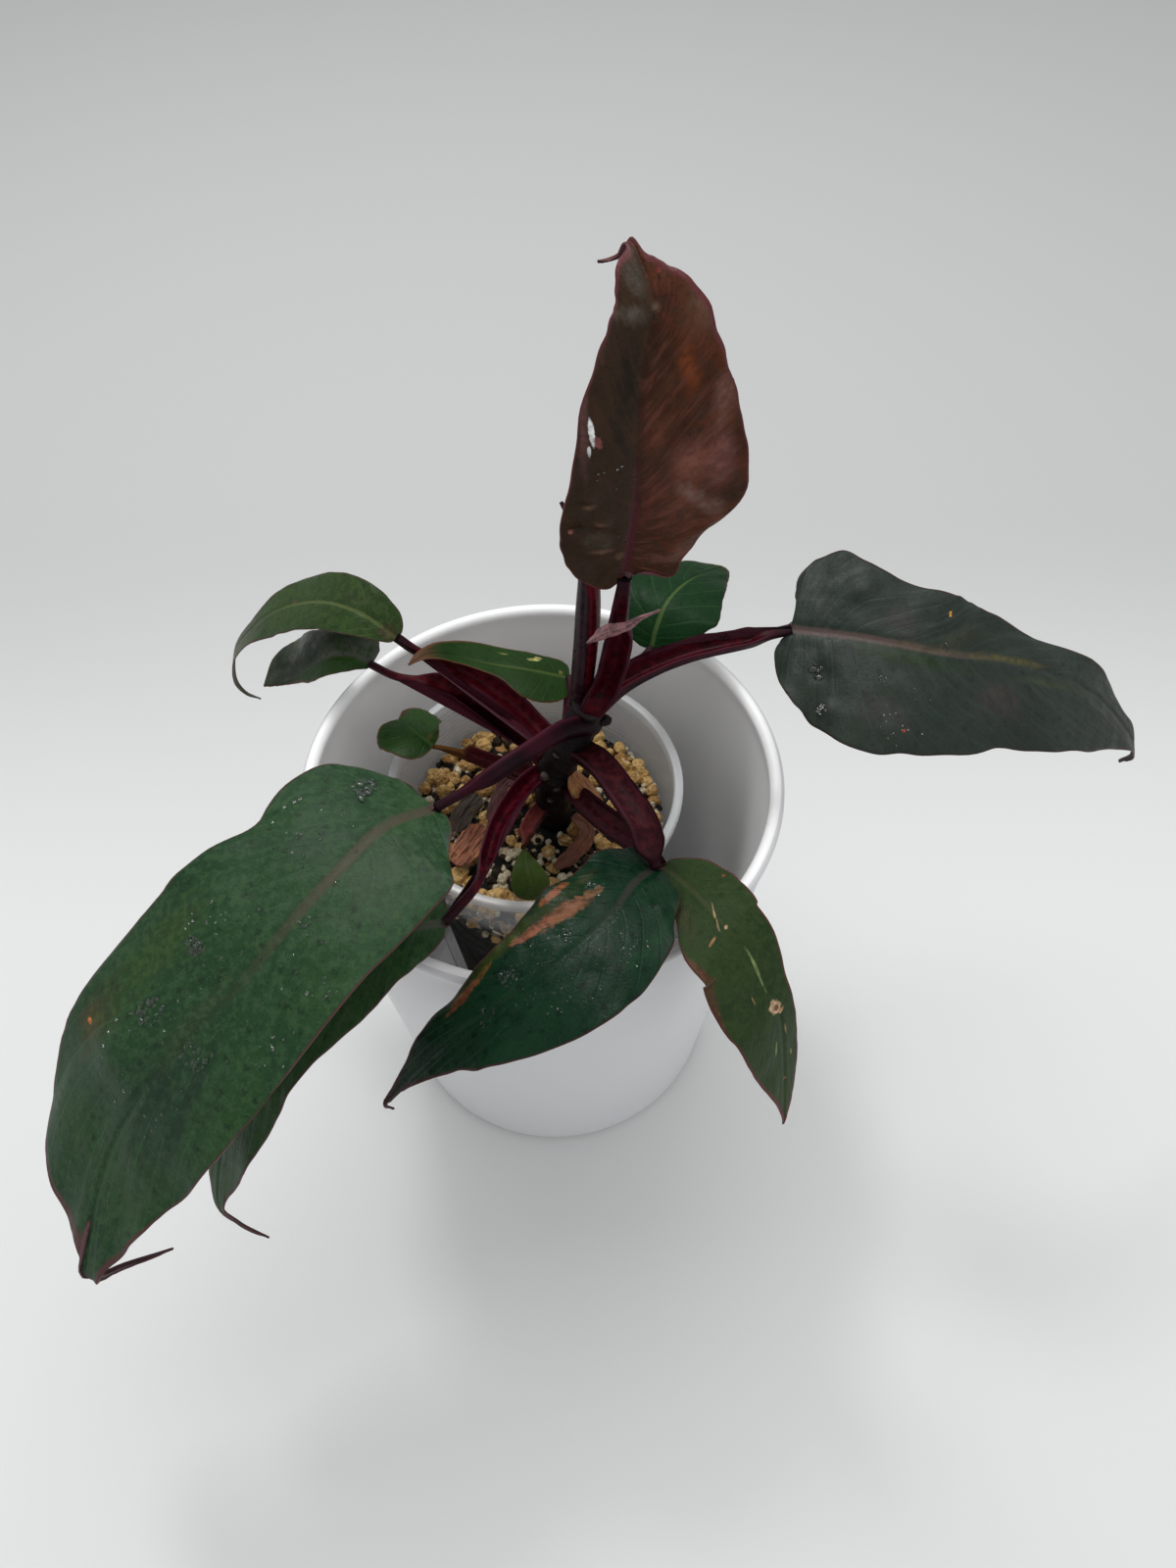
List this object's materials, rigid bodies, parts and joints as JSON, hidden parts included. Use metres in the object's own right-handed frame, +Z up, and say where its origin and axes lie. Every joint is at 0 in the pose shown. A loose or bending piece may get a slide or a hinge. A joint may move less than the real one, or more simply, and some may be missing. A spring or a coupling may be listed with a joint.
{
  "type": "potted philodendron",
  "caption": "Variegated philodendron with long drooping dark green leaves and an upright copper one, in a clear nursery cup inside a white cover pot.",
  "frame": {"origin": "centre of the cover pot's underside", "axes": "+Z up; the usual view looks along +Y, with +X to its right"},
  "size_m": [0.3231, 0.2117, 0.3208],
  "materials": {
    "white_plastic": "white satin plastic",
    "clear_plastic": "clear, slightly hazy, with a frosted rim",
    "mix": "damp pumice and perlite lumps over dark fines",
    "stem": "dark, slightly glossy bark",
    "stalk": "smooth purple-maroon",
    "leaf_green": "waxy dark green with salmon and cream streaks",
    "leaf_copper": "glossy copper pink, brown-grey on one half",
    "leaf_dark": "satin dark grey-green",
    "bract": "shrivelled pink-brown",
    "husk": "dry papery brown"
  },
  "bodies": {
    "root": {"cover_pot": "white_plastic", "nursery_cup": "clear_plastic", "potting_mix": "mix", "main_stem": "stem", "blade_upright": "leaf_copper", "blade_right": "leaf_dark", "blade_front_left": "leaf_green", "blade_low_left": "leaf_green", "blade_front": "leaf_green", "blade_front_right": "leaf_green", "blade_back_left": "leaf_green", "blade_low_back_left": "leaf_green", "blade_round": "leaf_green", "blade_back": "leaf_green", "blade_back_right": "leaf_green", "blade_small_front": "leaf_green", "stalk_right": "stalk", "stalk_front_left": "stalk", "stalk_upright": "stalk", "stalk_front": "stalk", "stalk_low_left": "stalk", "stalk_front_right": "stalk", "stalk_back_left": "stalk", "stalk_low_back_left": "stalk", "stalk_round": "stalk", "stalk_back": "stalk", "stalk_back_right": "stalk", "stalk_small_front": "stalk", "new_leaf": "stalk", "bract": "bract", "husk_strap": "husk", "husk_olive": "husk", "husk_crinkled": "husk", "husk_papery": "husk", "husk_front_strip": "husk"}
  },
  "joints": []
}
